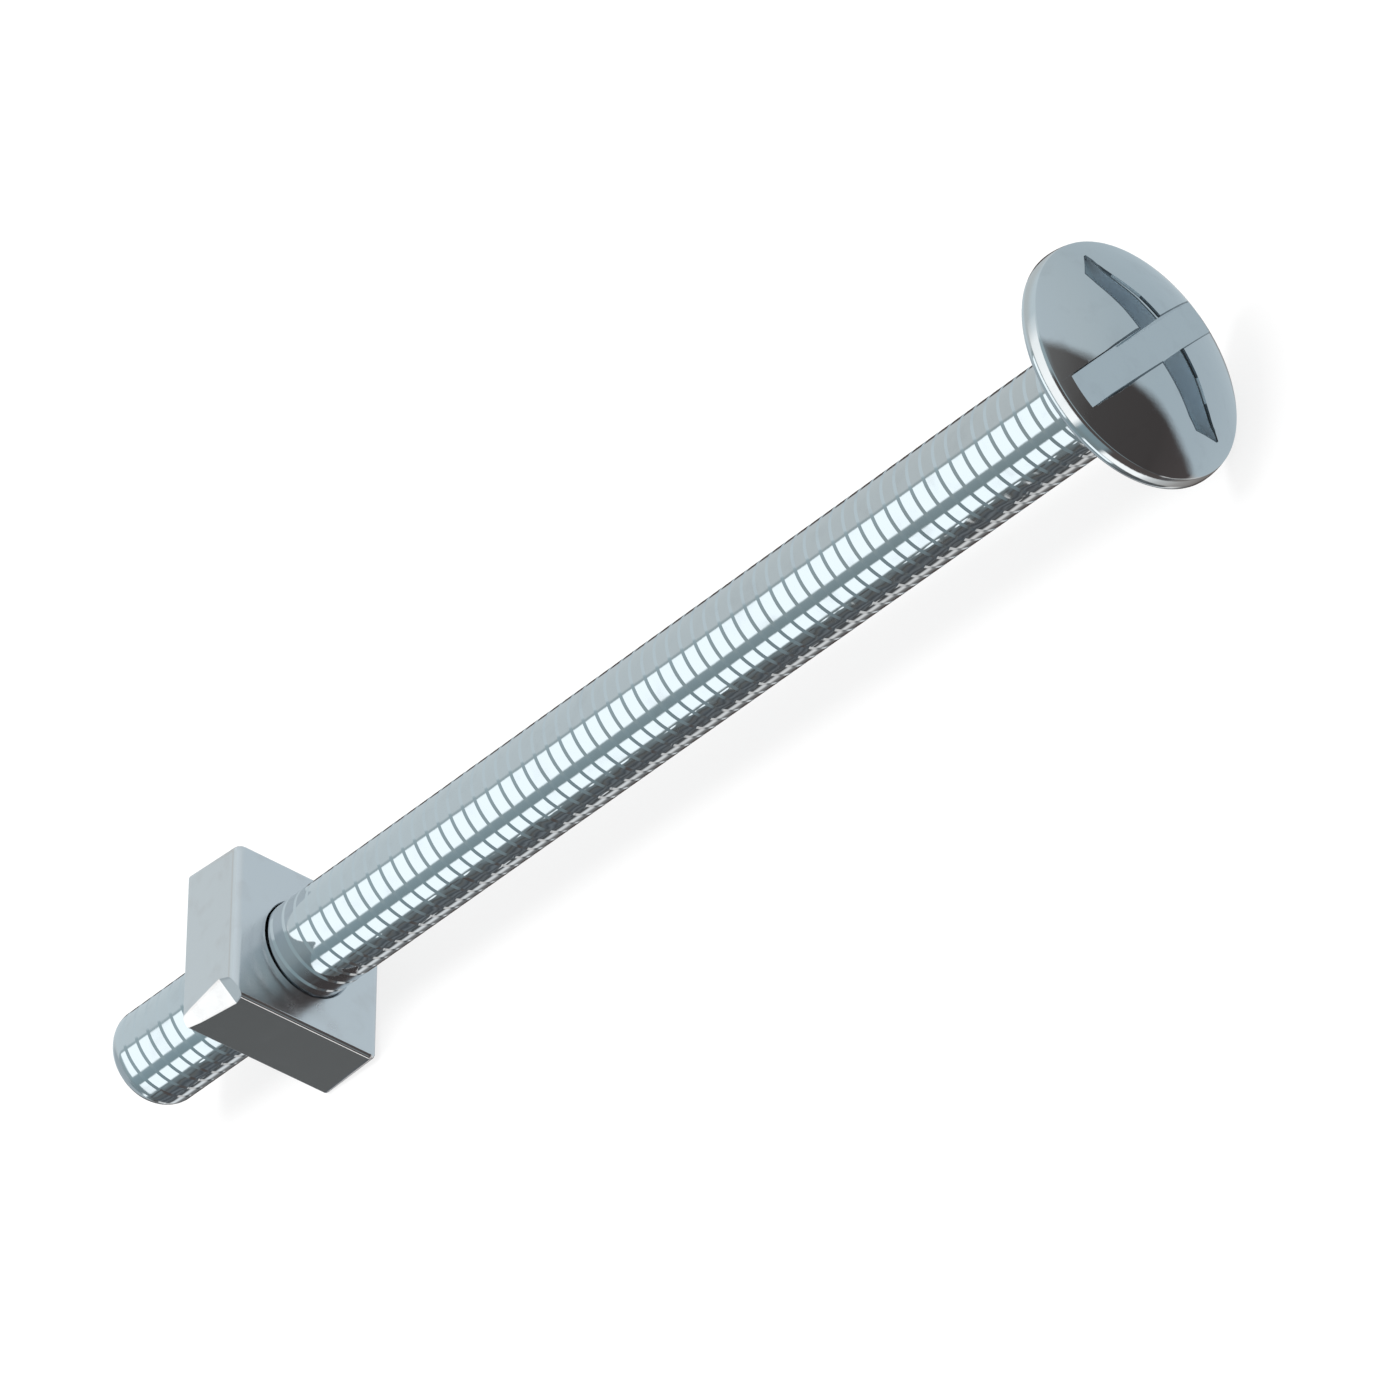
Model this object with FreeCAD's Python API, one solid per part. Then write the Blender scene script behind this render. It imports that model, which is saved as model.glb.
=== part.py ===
import FreeCAD, Part
import math
import os

# A mushroom-headed roofing bolt with its square nut, in millimetres.
# The bolt lies along X with its head toward +X, and +Z is up.
# The origin is the middle of the head's flat underside.

# Shank: a plain cylinder over the thread's crests, with a slight taper at its free end
thread_diameter = 5.7
shank_length = 79.6
tip_diameter = 5.2
tip_taper_length = 0.8
neck_fillet_radius = 0.3

# Head: a shallow dome on a low rim
head_diameter = 13.8
head_height = 3.4
rim_height = 1.1
rim_bottom_radius = 0.45
rim_top_radius = 0.12

# Two crossed driver slots with one flat floor, which runs out through the dome before the rim
slot_depth = 1.8
straight_slot_width = 1.8
tapered_slot_middle_width = 2.3
tapered_slot_end_width = 1.3
straight_slot_angle = 140.0  # from +Y toward +Z; the tapered slot is square to it

# Square nut
nut_across_flats = 10.0
nut_thickness = 4.35
nut_corner_radius = 0.7
nut_bearing_edge_radius = 0.4
nut_outer_edge_radius = 0.12
cut_corner_width = 1.6  # the upper corner toward -Y is cut off flat, this wide on the top face
cut_corner_height = 1.05  # and this high on the side face
cut_corner_taper = 0.42  # share of the cut that is left at the outer face
nut_countersink_diameter = 6.1
nut_running_clearance = 0.05  # between the nut's bore and the thread's crests, on the radius
tip_beyond_nut = 9.7  # how far the free end stands out of the nut at rest

# Worked out from the sizes above
shank_radius = thread_diameter / 2
head_radius = head_diameter / 2
dome_height = head_height - rim_height
dome_radius = (head_radius ** 2 + dome_height ** 2) / (2 * dome_height)
slot_floor = head_height - slot_depth
slot_runout_radius = math.sqrt(dome_radius ** 2 - (dome_radius - slot_depth) ** 2)
nut_bore_radius = shank_radius + nut_running_clearance
nut_outer_face = tip_beyond_nut - shank_length
nut_bearing_face = nut_outer_face + nut_thickness

bolt_axis = FreeCAD.Vector(1, 0, 0)
centre = FreeCAD.Vector(0, 0, 0)


def point(x, r):
    """A point of the bolt's outline, x along the axis and r out from it."""
    return FreeCAD.Vector(x, 0, r)


def edges_at(shape, x, radius):
    """The round edges about the bolt's axis with this radius and place."""
    found = []
    for edge in shape.Edges:
        if edge.Degenerated or not isinstance(edge.Curve, Part.Circle):
            continue
        if abs(edge.Curve.Radius - radius) < 1e-4 and abs(edge.Curve.Center.x - x) < 1e-4:
            found.append(edge)
    return found


def turned_bolt():
    """Head and shank in one piece, before the slots are cut."""
    tip_start = -shank_length
    tip_end = tip_start + tip_taper_length
    fillet_middle = neck_fillet_radius * (1 - math.sqrt(0.5))
    dome_centre = head_height - dome_radius
    half_angle = 0.5 * math.asin(head_radius / dome_radius)
    dome_middle = point(
        dome_centre + dome_radius * math.cos(half_angle), dome_radius * math.sin(half_angle)
    )
    outline = Part.Wire([
        Part.makeLine(point(tip_start, 0), point(tip_start, tip_diameter / 2)),
        Part.makeLine(point(tip_start, tip_diameter / 2), point(tip_end, shank_radius)),
        Part.makeLine(point(tip_end, shank_radius), point(-neck_fillet_radius, shank_radius)),
        Part.Arc(
            point(-neck_fillet_radius, shank_radius),
            point(-fillet_middle, shank_radius + fillet_middle),
            point(0, shank_radius + neck_fillet_radius),
        ).toShape(),
        Part.makeLine(point(0, shank_radius + neck_fillet_radius), point(0, head_radius)),
        Part.makeLine(point(0, head_radius), point(rim_height, head_radius)),
        Part.Arc(point(rim_height, head_radius), dome_middle, point(head_height, 0)).toShape(),
        Part.makeLine(point(head_height, 0), point(tip_start, 0)),
    ])
    turned = Part.Face(outline).revolve(centre, bolt_axis, 360)
    turned = turned.makeFillet(rim_bottom_radius, edges_at(turned, 0, head_radius))
    return turned.makeFillet(rim_top_radius, edges_at(turned, rim_height, head_radius))


def slot_cutter(middle_width, end_width, angle):
    """A slot across the whole head, from its floor up past the dome. Its sides taper evenly from the
    middle, and end_width is the width where the floor runs out on the dome."""
    taper = (middle_width - end_width) / slot_runout_radius
    rim_width = middle_width - taper * head_radius
    half_outline = [
        (-head_radius, rim_width / 2),
        (0, middle_width / 2),
        (head_radius, rim_width / 2),
    ]
    outline = half_outline + [(y, -z) for y, z in reversed(half_outline)]
    corners = [FreeCAD.Vector(slot_floor, y, z) for y, z in outline]
    floor = Part.Face(Part.makePolygon(corners + corners[:1]))
    cutter = floor.extrude(FreeCAD.Vector(head_height, 0, 0))
    cutter.rotate(centre, bolt_axis, angle)
    return cutter


def bolt():
    straight = slot_cutter(straight_slot_width, straight_slot_width, straight_slot_angle)
    tapered = slot_cutter(
        tapered_slot_middle_width, tapered_slot_end_width, straight_slot_angle + 90
    )
    return turned_bolt().cut(straight).cut(tapered)


def countersink(face_x, inward):
    """A 45 degree cone that opens the bore at one face of the nut. inward is the way into the nut."""
    mouth_radius = nut_countersink_diameter / 2
    depth = mouth_radius - nut_bore_radius
    return Part.makeCone(
        mouth_radius, nut_bore_radius, depth, FreeCAD.Vector(face_x, 0, 0), bolt_axis * inward
    )


def corner_cutter():
    """A wedge that cuts the nut's upper corner toward -Y, deeper at the bearing face."""
    half = nut_across_flats / 2
    ends = []
    for x, share in ((nut_bearing_face, 1), (nut_outer_face, cut_corner_taper)):
        corners = [
            FreeCAD.Vector(x, -half, half - cut_corner_height * share),
            FreeCAD.Vector(x, -half + cut_corner_width * share, half),
            FreeCAD.Vector(x, -half, half),
        ]
        ends.append(Part.makePolygon(corners + corners[:1]))
    return Part.makeLoft(ends, True, True)


def square_nut():
    half = nut_across_flats / 2
    block = Part.makeBox(
        nut_thickness, nut_across_flats, nut_across_flats, FreeCAD.Vector(nut_outer_face, -half, -half)
    )
    corners = [edge for edge in block.Edges if abs(edge.tangentAt(edge.FirstParameter).x) > 0.9]
    block = block.makeFillet(nut_corner_radius, corners)
    for face_x, radius in (
        (nut_outer_face, nut_outer_edge_radius), (nut_bearing_face, nut_bearing_edge_radius)
    ):
        rim = [edge for edge in block.Edges if abs(edge.BoundBox.XMin - face_x) < 1e-4
               and abs(edge.BoundBox.XMax - face_x) < 1e-4]
        block = block.makeFillet(radius, rim)
    block = block.cut(corner_cutter())
    bore = Part.makeCylinder(
        nut_bore_radius, nut_thickness, FreeCAD.Vector(nut_outer_face, 0, 0), bolt_axis
    )
    nut = block.cut(bore)
    nut = nut.cut(countersink(nut_outer_face, 1))
    return nut.cut(countersink(nut_bearing_face, -1))


def export(name, shape):
    solid = shape.Solids[0]
    print(name, "volume", round(solid.Volume, 2), "mm3, valid", solid.isValid())
    solid.exportStep(os.path.join("parts", name + ".step"))


os.makedirs("parts", exist_ok=True)
export("bolt", bolt())
export("square_nut", square_nut())
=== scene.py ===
import bpy
import math
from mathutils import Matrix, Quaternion, Vector
from mathutils.geometry import intersect_sphere_sphere_2d


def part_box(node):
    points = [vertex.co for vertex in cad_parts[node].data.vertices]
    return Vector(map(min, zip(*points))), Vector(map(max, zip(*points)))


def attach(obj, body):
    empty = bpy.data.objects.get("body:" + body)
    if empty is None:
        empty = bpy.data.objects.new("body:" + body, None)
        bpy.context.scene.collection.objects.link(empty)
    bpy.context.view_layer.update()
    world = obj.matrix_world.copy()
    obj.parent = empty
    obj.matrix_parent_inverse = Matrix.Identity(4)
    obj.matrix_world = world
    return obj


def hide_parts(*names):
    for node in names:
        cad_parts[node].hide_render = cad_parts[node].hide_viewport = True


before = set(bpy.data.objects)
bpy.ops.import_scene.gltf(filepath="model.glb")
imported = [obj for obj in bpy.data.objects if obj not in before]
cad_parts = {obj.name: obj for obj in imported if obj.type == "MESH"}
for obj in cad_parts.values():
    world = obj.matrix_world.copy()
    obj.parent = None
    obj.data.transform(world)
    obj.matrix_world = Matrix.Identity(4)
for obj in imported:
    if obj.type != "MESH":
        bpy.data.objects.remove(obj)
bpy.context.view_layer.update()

# A mushroom-headed roofing bolt and its square nut in bright zinc, in metres.
# The bolt lies along X with its head toward +X. Angles about it are counted from +Y toward +Z.
mm = 0.001
boltLow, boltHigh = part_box("bolt")
nutLow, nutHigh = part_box("square_nut")
roundSteps = 144  # corners in every ring about the bolt's axis
onPlane = 0.0001 * mm  # corners this near a plane count as lying on it


def activate(piece):
    bpy.ops.object.select_all(action="DESELECT")
    piece.select_set(True)
    bpy.context.view_layer.objects.active = piece


def startEdit(piece, kind="VERT"):
    activate(piece)
    bpy.ops.object.mode_set(mode="EDIT")
    bpy.ops.mesh.select_mode(type=kind)
    bpy.ops.mesh.select_all(action="DESELECT")
    bpy.ops.object.mode_set(mode="OBJECT")


def editSelected(piece, step, **values):
    activate(piece)
    bpy.ops.object.mode_set(mode="EDIT")
    step(**values)
    bpy.ops.object.mode_set(mode="OBJECT")


def turnOutward(piece):
    startEdit(piece, "FACE")
    editSelected(piece, bpy.ops.mesh.select_all, action="SELECT")
    editSelected(piece, bpy.ops.mesh.normals_make_consistent, inside=False)


def smoothByAngle(piece, degrees):
    activate(piece)
    bpy.ops.object.shade_smooth_by_angle(angle=math.radians(degrees), keep_sharp_edges=False)


def cutWith(piece, cutter):
    activate(piece)
    cut = piece.modifiers.new("cut", "BOOLEAN")
    cut.operation = "DIFFERENCE"
    cut.solver = "EXACT"
    cut.object = cutter
    bpy.ops.object.modifier_apply(modifier=cut.name)
    bpy.data.objects.remove(cutter)


def joinInto(piece, other):
    bpy.ops.object.select_all(action="DESELECT")
    other.select_set(True)
    piece.select_set(True)
    bpy.context.view_layer.objects.active = piece
    bpy.ops.object.join()


def meshPiece(name, corners, faces):
    mesh = bpy.data.meshes.new(name)
    mesh.from_pydata(corners, [], faces)
    piece = bpy.data.objects.new(name, mesh)
    bpy.context.scene.collection.objects.link(piece)
    return piece


# The rolled thread: wide flat crests that the blank's own skin still covers, and narrow grooves
thread = {
    "pitch": 1.0 * mm,
    "crestRadius": 2.85 * mm,
    "crestStrips": 5,  # strips of faces across a crest
    "grooveCentre": -0.39 * mm,  # place of the groove at angle 0, to the nearest pitch
    "grooveHalfWidth": 0.115 * mm,
    "grooveBottom": 0.045 * mm,  # place of the groove's lowest line from its centre
    "grooveDepth": 0.08 * mm,
    "runOutStart": -2.74 * mm,  # the groove fades from here
    "runOutEnd": -2.45 * mm,
    "tipRadius": 2.42 * mm,
    "tipRounding": 1.0 * mm,
    "tipCupInset": 0.5 * mm,
    "tipCupDepth": 0.12 * mm,
    "mergeGap": 0.0005 * mm,  # corners closer than this become one
}


def ringPoint(x, radius, step):
    angle = 2 * math.pi * step / roundSteps
    return (x, radius * math.cos(angle), radius * math.sin(angle))


# The helical wall of a thread from lowX to highX. sections are the rows of one pitch, each its
# offset from the groove's centre and its part of the full height, and radiusAt gives the radius.
def helicalWall(name, lowX, highX, sections, radiusAt, outward):
    pitch = thread["pitch"]
    spareTurns = 2
    firstTurn = math.floor((lowX - thread["grooveCentre"]) / pitch) - spareTurns
    lastTurn = math.ceil((highX - thread["grooveCentre"]) / pitch) + spareTurns
    rows = []
    for turn in range(firstTurn, lastTurn):
        for offset, share in sections:
            rows.append((thread["grooveCentre"] + turn * pitch + offset, share))
    corners = []
    for rowX, share in rows:
        for step in range(roundSteps):
            x = rowX + pitch * step / roundSteps
            x = min(max(x, lowX), highX)
            corners.append(ringPoint(x, radiusAt(x, share), step))
    faces = []
    for row in range(len(rows) - 1):
        for step in range(roundSteps):
            here = row * roundSteps + step
            beside = here + 1
            if step == roundSteps - 1:
                beside = (row + len(sections)) * roundSteps  # one turn on, a pitch further
            if beside + roundSteps >= len(corners):
                continue
            face = (here, beside, beside + roundSteps, here + roundSteps)
            faces.append(face if outward else face[::-1])
    wall = meshPiece(name, corners, faces)
    startEdit(wall)
    editSelected(wall, bpy.ops.mesh.select_all, action="SELECT")
    editSelected(wall, bpy.ops.mesh.remove_doubles, threshold=thread["mergeGap"])
    editSelected(wall, bpy.ops.mesh.delete_loose)
    return wall


def boltRadius(x, share):
    fade = (thread["runOutEnd"] - x) / (thread["runOutEnd"] - thread["runOutStart"])
    fade = min(max(fade, 0), 1)
    radius = thread["crestRadius"] - thread["grooveDepth"] * share * fade
    fromTip = x - boltLow.x
    if fromTip < thread["tipRounding"]:
        swell = 1 - (1 - fromTip / thread["tipRounding"]) ** 2
        tip = thread["tipRadius"] + (thread["crestRadius"] - thread["tipRadius"]) * swell
        radius = min(radius, tip)
    return radius


def makeShank():
    half = thread["grooveHalfWidth"]
    sections = [(-half, 0), (thread["grooveBottom"], 1), (half, 0)]
    crest = thread["pitch"] - 2 * half
    strips = thread["crestStrips"]
    sections += [(half + crest * (strip / strips), 0) for strip in range(1, strips)]
    shank = helicalWall("shank", boltLow.x, -head["neckLength"], sections, boltRadius, True)
    startEdit(shank, "VERT")
    for corner in shank.data.vertices:
        corner.select = corner.co.x < boltLow.x + onPlane
    editSelected(shank, bpy.ops.mesh.edge_face_add)
    editSelected(shank, bpy.ops.mesh.inset, thickness=thread["tipCupInset"],
                 depth=-thread["tipCupDepth"])
    return shank


head = {
    "rimRadius": boltHigh.z,
    "height": boltHigh.x,
    "rimHeight": 1.1 * mm,
    "rimBottomRounding": 0.42 * mm,
    "rimTopRounding": 0.1 * mm,
    "rimCrown": 2.6 * mm,  # radius of the rim's own slight bulge
    "neckFillet": 0.3 * mm,
    "neckLength": 1.2 * mm,  # the head's piece takes the shank's first stretch with it
    # two rings that keep the flat underside even: from the fillet, and from the rim's rounding
    "undersideRings": (1.2 * mm, 0.1 * mm),
    "steps": {"fillet": 8, "bottom": 8, "crown": 5, "top": 4, "dome": 30},  # faces round each arc
    "seamReach": 0.001 * mm,  # corners this near the seam with the shank
    "seamGap": 0.01 * mm,  # and this near each other are merged
    "smoothing": 13.5,  # faces that meet at less than this angle are shaded as one
}


def arc(middleX, middleRadius, size, start, end, count):
    points = []
    for step in range(count + 1):
        angle = math.radians(start + (end - start) * step / count)
        points.append((middleX + size * math.cos(angle), middleRadius + size * math.sin(angle)))
    return points


def domeSphere():
    rise = head["height"] - head["rimHeight"]
    radius = (head["rimRadius"] ** 2 + rise ** 2) / (2 * rise)
    return head["height"] - radius, radius


# The head's outline from the neck's fillet to the top of the dome, as places along X and radii
def headOutline():
    neck = thread["crestRadius"]
    fillet = head["neckFillet"]
    bottom = head["rimBottomRounding"]
    top = head["rimTopRounding"]
    crown = head["rimCrown"]
    domeX, domeRadius = domeSphere()
    # The top rounding touches both the crowned rim and the dome
    crownMiddle = Vector((bottom, head["rimRadius"] - crown))
    meeting = intersect_sphere_sphere_2d(
        crownMiddle, crown - top, Vector((domeX, 0)), domeRadius - top)
    topMiddle = max(meeting, key=lambda place: place.y)
    crownEnd = math.degrees(math.atan2(topMiddle.y - crownMiddle.y, topMiddle.x - crownMiddle.x))
    domeStart = math.degrees(math.atan2(topMiddle.y, topMiddle.x - domeX))
    steps = head["steps"]
    inner, outer = head["undersideRings"]
    outline = arc(-fillet, neck + fillet, fillet, 270, 360, steps["fillet"])
    outline += [(0, neck + fillet + inner), (0, head["rimRadius"] - bottom - outer)]
    outline += arc(bottom, head["rimRadius"] - bottom, bottom, 180, 90, steps["bottom"])
    outline += arc(crownMiddle.x, crownMiddle.y, crown, 90, crownEnd, steps["crown"])[1:]
    outline += arc(topMiddle.x, topMiddle.y, top, crownEnd, domeStart, steps["top"])[1:]
    outline += arc(domeX, 0, domeRadius, domeStart, 0, steps["dome"])[1:-1]
    return outline


def makeHead():
    bpy.ops.object.select_all(action="DESELECT")
    bpy.ops.mesh.primitive_circle_add(
        vertices=roundSteps, radius=thread["crestRadius"], fill_type="NGON",
        location=(-head["neckLength"], 0, 0), rotation=(0, math.radians(90), 0),
    )
    piece = bpy.context.object
    piece.name = "head"
    bpy.ops.object.transform_apply(location=True, rotation=True, scale=True)
    bpy.ops.object.mode_set(mode="EDIT")
    bpy.ops.mesh.select_mode(type="EDGE")
    bpy.ops.mesh.select_all(action="SELECT")
    lastX, lastRadius = -head["neckLength"], thread["crestRadius"]
    for x, radius in headOutline():
        bpy.ops.mesh.extrude_edges_move(TRANSFORM_OT_translate={"value": (x - lastX, 0, 0)})
        size = radius / lastRadius
        bpy.ops.transform.resize(value=(1, size, size), center_override=(x, 0, 0))
        lastX, lastRadius = x, radius
    bpy.ops.mesh.extrude_edges_move(
        TRANSFORM_OT_translate={"value": (head["height"] - lastX, 0, 0)})
    bpy.ops.mesh.merge(type="CENTER")
    bpy.ops.mesh.select_all(action="SELECT")
    bpy.ops.mesh.normals_make_consistent(inside=False)
    bpy.ops.object.mode_set(mode="OBJECT")
    return piece


# The two crossed slots. The tables are in millimetres, and each row starts with its place along
# the slot.
slots = {
    "floor": 1.6 * mm,
    "edgeRounding": 0.065 * mm,
    "edgeDrop": 0.01 * mm,  # how far the rounded edge's top lies under the dome
    "lowestEdge": 0.02 * mm,  # the rounding stays at least this far above the floor
    "ledgeDepth": 0.1 * mm,  # how far the pressed ledge inside an edge lies under the dome
    "narrowestLedge": 0.03 * mm,  # a narrower one has no step up to the dome
    # where a ledge's step up to the dome has its foot and its top, inward from the slot's edge
    "ledgeStep": (0.02 * mm, -0.01 * mm),
    "stripLift": 0.004 * mm,  # how far under the dome a worn strip runs out
    # above the dome the cutter flares a little, then far out and up
    "flare": 0.1 * mm,
    "spareWidth": 3 * mm,
    "spareHeight": 2 * mm,
    "sectionLength": 0.35,  # in millimetres, as the tables are
    "straightAngle": 139.7,
    # left and right edge
    "straight": [
        (-7.2, -0.86, 0.98), (-5.57, -0.90, 0.97), (1, -1.18, 0.80), (4.8, -1.24, 0.65),
        (7.2, -1.24, 0.66),
    ],
    "taperedAngle": 49.7,
    "tapered": [
        (-5.72, -0.69, -0.67), (-5.3, -0.62, -0.05), (-4.61, -0.57, 0.88), (-3.8, -0.62, 1.05),
        (-2.5, -0.85, 1.04), (0, -1.05, 1.10), (2.5, -0.95, 0.82), (4.2, -0.66, 0.75),
        (5.02, -0.60, 0.62), (5.4, -0.70, -0.05), (5.78, -0.74, -0.72),
    ],
    # widths of the worn strips along the left and the right edge
    "straightStrips": [
        (-7.2, 0.02, 0.02), (-1.2, 0.03, 0.02), (1.0, 0.03, 0.03), (1.3, 0.08, 0.04),
        (3.2, 0.06, 0.06), (3.7, 0.02, 0.1), (4.8, 0.02, 0.1), (5.3, 0.02, 0.02),
        (7.2, 0.02, 0.02),
    ],
    "taperedStrips": [
        (-5.8, 0.02, 0.06), (-4.6, 0.03, 0.1), (4.6, 0.03, 0.1), (5.8, 0.02, 0.08),
    ],
    # width of the ledge along the left edge
    "straightLedge": [(-7.2, 0.02), (7.2, 0.02)],
    "taperedLedge": [
        (-5.8, 0.0), (-5.5, 0.0), (-5.2, 0.04), (-4.6, 0.1), (-2.2, 0.16), (-1.0, 0.16),
        (0, 0.2), (1.0, 0.3), (2.2, 0.3), (3.6, 0.22), (4.6, 0.1), (5.1, 0.0), (5.8, 0.0),
    ],
    # Which faces get the second material, a dark zinc that paints shade along the slots' edges: how
    # far under the dome they lie, and the cosine of their angle to it. Faces nearly along the dome get
    # it only where they lie in a worn strip.
    "paintedShadeDepth": (0.0035 * mm, 0.17 * mm),
    "paintedShadeLean": (0.2, 0.97),
    "stripDepth": 0.03 * mm,
    "wallLean": 0.85,  # the tapered slot's walls are the faces that look more squarely across it
}


# The value at a place between two rows of a table that begin with their places
def between(rows, place, column=1):
    for low, high in zip(rows, rows[1:]):
        if place <= high[0]:
            share = max(place - low[0], 0) / (high[0] - low[0])
            return low[column] + (high[column] - low[column]) * share
    return rows[-1][column]


# One wall of a slot from its floor up past the dome, as places inward from the slot's edge and
# heights. domeAt gives the dome's height at such a place. A ledge, where there is one, has a small
# step up to the dome at its outer end, and elsewhere a shallow worn strip runs out on the dome.
def slotWall(domeAt, ledge, strip):
    rounding = slots["edgeRounding"]
    hasLedge = ledge > slots["narrowestLedge"]
    edgeX = domeAt(0) - (slots["ledgeDepth"] if hasLedge else slots["edgeDrop"])
    start = max(edgeX - rounding, slots["floor"] + slots["lowestEdge"])
    wall = [(ledge, slots["floor"])]
    for angle in range(0, 90, 15):
        turned = math.radians(angle)
        inward = ledge - rounding * (1 - math.cos(turned))
        wall.append((inward, start + rounding * math.sin(turned)))
    if hasLedge:
        foot, top = slots["ledgeStep"]
        wall.append((foot, start + rounding))
        wall.append((top, start + rounding + slots["ledgeDepth"]))
    else:
        outer = wall[-1][0] - strip
        wall.append((outer, domeAt(outer) - slots["stripLift"]))
        wall.append((outer - slots["flare"], wall[-1][1] + slots["flare"]))
    wall.append((-slots["spareWidth"], wall[-1][1] + slots["spareHeight"]))
    return wall


# The slot's outline in sections of about sectionLength, as place, left edge and right edge
def slotStations(outline):
    stations = []
    for (start, startLeft, startRight), (end, endLeft, endRight) in zip(outline, outline[1:]):
        parts = max(1, round(abs(end - start) / slots["sectionLength"]))
        for part in range(parts):
            share = part / parts
            along = start + (end - start) * share
            left = startLeft + (endLeft - startLeft) * share
            right = startRight + (endRight - startRight) * share
            stations.append((along, left, right))
    stations.append(outline[-1])
    return stations


# A cutter for one slot, in sections along it. across is measured a quarter turn on from its line.
def slotCutter(name):
    ledges = slots[name + "Ledge"]
    strips = slots[name + "Strips"]
    domeX, domeRadius = domeSphere()
    stations = slotStations(slots[name])
    corners = []
    for along, left, right in stations:
        sides = (
            (-1, left * mm, between(ledges, along) * mm, between(strips, along, 1) * mm),
            (1, right * mm, 0, between(strips, along, 2) * mm),
        )
        for side, across, ledge, strip in sides:
            def domeAt(inward):
                away = (along * mm) ** 2 + (across - side * inward) ** 2
                return domeX + math.sqrt(max(domeRadius ** 2 - away, 0))
            rows = slotWall(domeAt, ledge, strip)
            wall = [(x, along * mm, across - side * inward) for inward, x in rows]
            corners += wall[::-1] if side < 0 else wall
    ring = len(corners) // len(stations)
    last = (len(stations) - 1) * ring
    faces = [tuple(range(ring))[::-1], tuple(range(last, last + ring))]
    for start in range(0, last, ring):
        for corner in range(ring):
            here = start + corner
            beside = start + (corner + 1) % ring
            faces.append((here, beside, beside + ring, here + ring))
    cutter = meshPiece(name + " slot", corners, faces)
    cutter.rotation_euler = (math.radians(slots[name + "Angle"]), 0, 0)
    activate(cutter)
    bpy.ops.object.transform_apply(location=True, rotation=True, scale=True)
    turnOutward(cutter)
    return cutter


# The slots' edges take the second material, a dark zinc that paints shade along them, and the
# tapered slot's walls the third, a rough zinc lightened with painted light. The edges are the faces
# just under the dome that lean outward.
def markSlots(piece):
    domeX, domeRadius = domeSphere()
    turned = math.radians(slots["taperedAngle"])
    across = Vector((0, -math.sin(turned), math.cos(turned)))
    least, most = slots["paintedShadeDepth"]
    steep, level = slots["paintedShadeLean"]
    for face in piece.data.polygons:
        reach = face.center - Vector((domeX, 0, 0))
        under = domeRadius - reach.length
        onFloor = face.center.x < slots["floor"] + slots["lowestEdge"]
        if onFloor or under < least:
            continue
        lean = reach.normalized().dot(face.normal)
        onEdge = under < most and steep < lean < level
        onStrip = under < slots["stripDepth"] and lean >= level
        if onEdge or onStrip:
            face.material_index = 1
        elif abs(face.normal.dot(across)) > slots["wallLean"]:
            face.material_index = 2


# Sharp edges where two materials meet
def sharpenBorders(piece):
    mesh = piece.data
    finishes = [set() for edge in mesh.edges]
    for face in mesh.polygons:
        for corner in face.loop_indices:
            finishes[mesh.loops[corner].edge_index].add(face.material_index)
    for edge, found in zip(mesh.edges, finishes):
        if len(found) > 1:
            edge.use_edge_sharp = True


# finishes are the materials of the bolt, of the slots' edges and of the tapered slot's walls
def makeBolt(finishes):
    bolt = makeHead()
    cutWith(bolt, slotCutter("straight"))
    cutWith(bolt, slotCutter("tapered"))
    for finish in finishes:
        bolt.data.materials.append(finish)
    markSlots(bolt)
    # The disc that closed the head's piece at the seam
    startEdit(bolt, "FACE")
    for face in bolt.data.polygons:
        face.select = face.normal.x < -0.9 and face.center.x < -0.9 * head["neckLength"]
    editSelected(bolt, bpy.ops.mesh.delete, type="FACE")
    shank = makeShank()
    shank.data.materials.append(finishes[0])
    joinInto(bolt, shank)
    bolt.name = "bolt_with_thread"
    bolt.data.name = "bolt_with_thread"
    startEdit(bolt, "VERT")
    for corner in bolt.data.vertices:
        corner.select = abs(corner.co.x + head["neckLength"]) < head["seamReach"]
    editSelected(bolt, bpy.ops.mesh.remove_doubles, threshold=head["seamGap"])
    turnOutward(bolt)
    smoothByAngle(bolt, head["smoothing"])
    sharpenBorders(bolt)
    return bolt


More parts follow.
